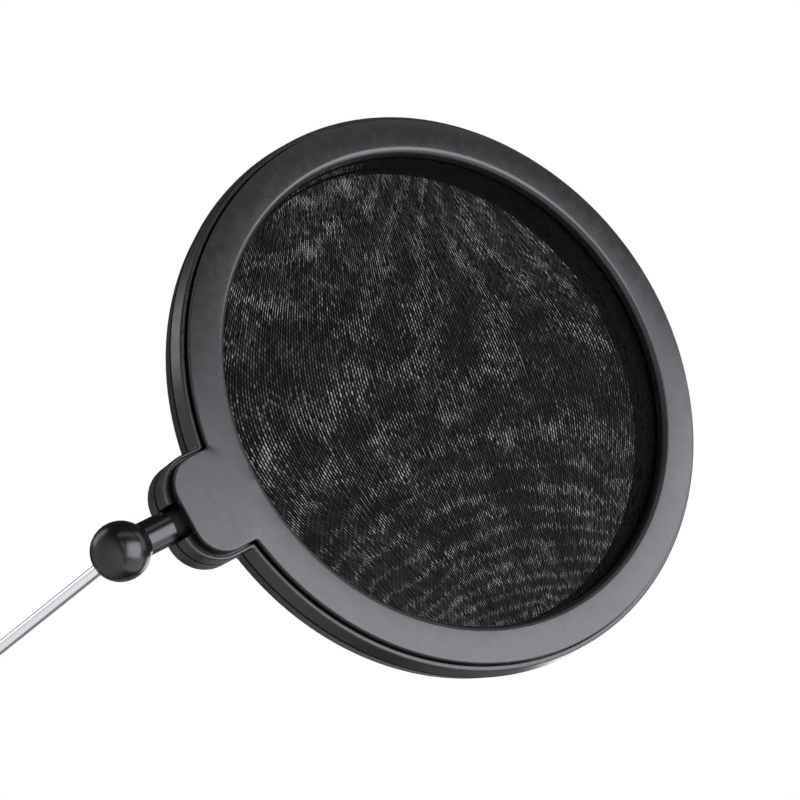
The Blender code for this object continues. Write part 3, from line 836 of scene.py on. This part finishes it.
def world():
    """White behind for the camera, and for the object a white sweep behind it that falls off to dim grey."""
    dim, bright = 0.045, 0.30  # strengths of the dim grey and of the sweep
    sky = bpy.data.worlds.new("studio")
    sky.use_nodes = True
    tree = sky.node_tree
    shade = tree.nodes["Background"]
    place = tree.nodes.new("ShaderNodeTexCoord")
    axes = tree.nodes.new("ShaderNodeSeparateXYZ")
    tree.links.new(place.outputs["Generated"], axes.inputs[0])

    def ranged(value, *limits):
        """The value eased from its first two limits onto the last two."""
        made = tree.nodes.new("ShaderNodeMapRange")
        made.interpolation_type = "SMOOTHSTEP"
        for socket, limit in zip(("From Min", "From Max", "To Min", "To Max"), limits):
            made.inputs[socket].default_value = limit
        tree.links.new(value, made.inputs["Value"])
        return made.outputs["Result"]

    def combined(operation, a, b):
        made = tree.nodes.new("ShaderNodeMath")
        made.operation = operation
        tree.links.new(a, made.inputs[0])
        tree.links.new(b, made.inputs[1])
        return made.outputs[0]

    behind = ranged(axes.outputs["Y"], 0.45, 0.80, 0.0, 1.0)
    rightward = ranged(axes.outputs["X"], -0.35, 0.45, 0.18, 1.0)
    upward = ranged(axes.outputs["Z"], -0.75, 0.05, 0.15, 1.0)
    sweep = combined("MULTIPLY", behind, combined("MULTIPLY", rightward, upward))
    path = tree.nodes.new("ShaderNodeLightPath")
    seen = combined("MAXIMUM", path.outputs["Is Camera Ray"], ranged(sweep, 0.0, 1.0, dim, bright))
    tree.links.new(seen, shade.inputs["Strength"])
    shade.inputs["Color"].default_value = (1, 1, 1, 1)
    bpy.context.scene.world = sky


def floor():
    """A plain pale floor well below the object, which the camera sees as brighter than the object does."""
    half, thickness, drop, glow = 6, 0.02, 0.32, 0.62
    mesh = box_mesh("floor", (-half, -half, -thickness), (half, half, 0))
    slab = placed(mesh, Matrix.Translation((0, 0, cad_box[0].z - drop)))
    graph = Graph("pale_floor", grey(0.80), 0.6)
    path = graph.node("ShaderNodeLightPath").outputs["Is Camera Ray"]
    tone = graph.shade(graph.noise(0.4, 3), grey(0.76), grey(0.82))
    lit = graph.math("MULTIPLY", path, glow)
    graph.set(Base_Color=tone, Emission_Color=(1, 1, 1, 1), Emission_Strength=lit)
    mesh.materials.append(graph.material)


LIGHT_DISTANCE = 0.8
LIGHT_COLOUR = (0.965, 0.985, 1.05)
KEY_LEAN = math.atan2(0.894, 0.447)
LIGHTS = (  # name, direction from the screen's centre, width, height, radiance and lean
    ("key", (0.365, -0.861, 0.354), 0.9, 0.80, 5.9, KEY_LEAN),
    ("right", (0.93, -0.22, 0.12), 0.7, 1.1, 1.6),
    ("left_front", (-0.60, -0.62, 0.36), 0.22, 0.9, 1.3, -0.5),
    ("top", (0.02, -0.28, 0.95), 0.8, 0.26, 1.4),
    ("brow", (-0.15, -0.96, -0.20), 0.5, 0.12, 1.5),
    ("left", (-0.80, 0.50, -0.33), 0.6, 0.35, 1.7),
    ("back", (0.28, 0.62, 0.73), 0.8, 0.5, 2.4),
    ("under", (0.03, 0.35, -0.90), 0.85, 0.26, 1.15),
)


HALVES = (  # name, placement, the mouth's radius and fillet, the knit and the seed of its sheet's unevenness
    ("front", FORWARD, (MOUTH_RADIUS, MOUTH_FILLET), KNIT_FRONT, 0.0),
    ("rear", BACKWARD, (REAR_MOUTH_RADIUS, REAR_MOUTH_FILLET), KNIT_REAR, 7.0),
)
for side, place, mouth, material, seed in HALVES:
    bezel(side, place, *mouth)
    housing(side, place, side == "front")
    hoop(side, place)
    mesh_sheet(side, place, material, seed)
boss_screw("left", -SCREW_X)
boss_screw("right", SCREW_X)
bush("front", -1)
bush("rear", 1)
stem_fittings()
stem()
cap()
rod_and_ball()
seats()
camera()
for light in LIGHTS:
    softbox(*light)
world()
floor()
bpy.context.scene.view_settings.view_transform = "Standard"
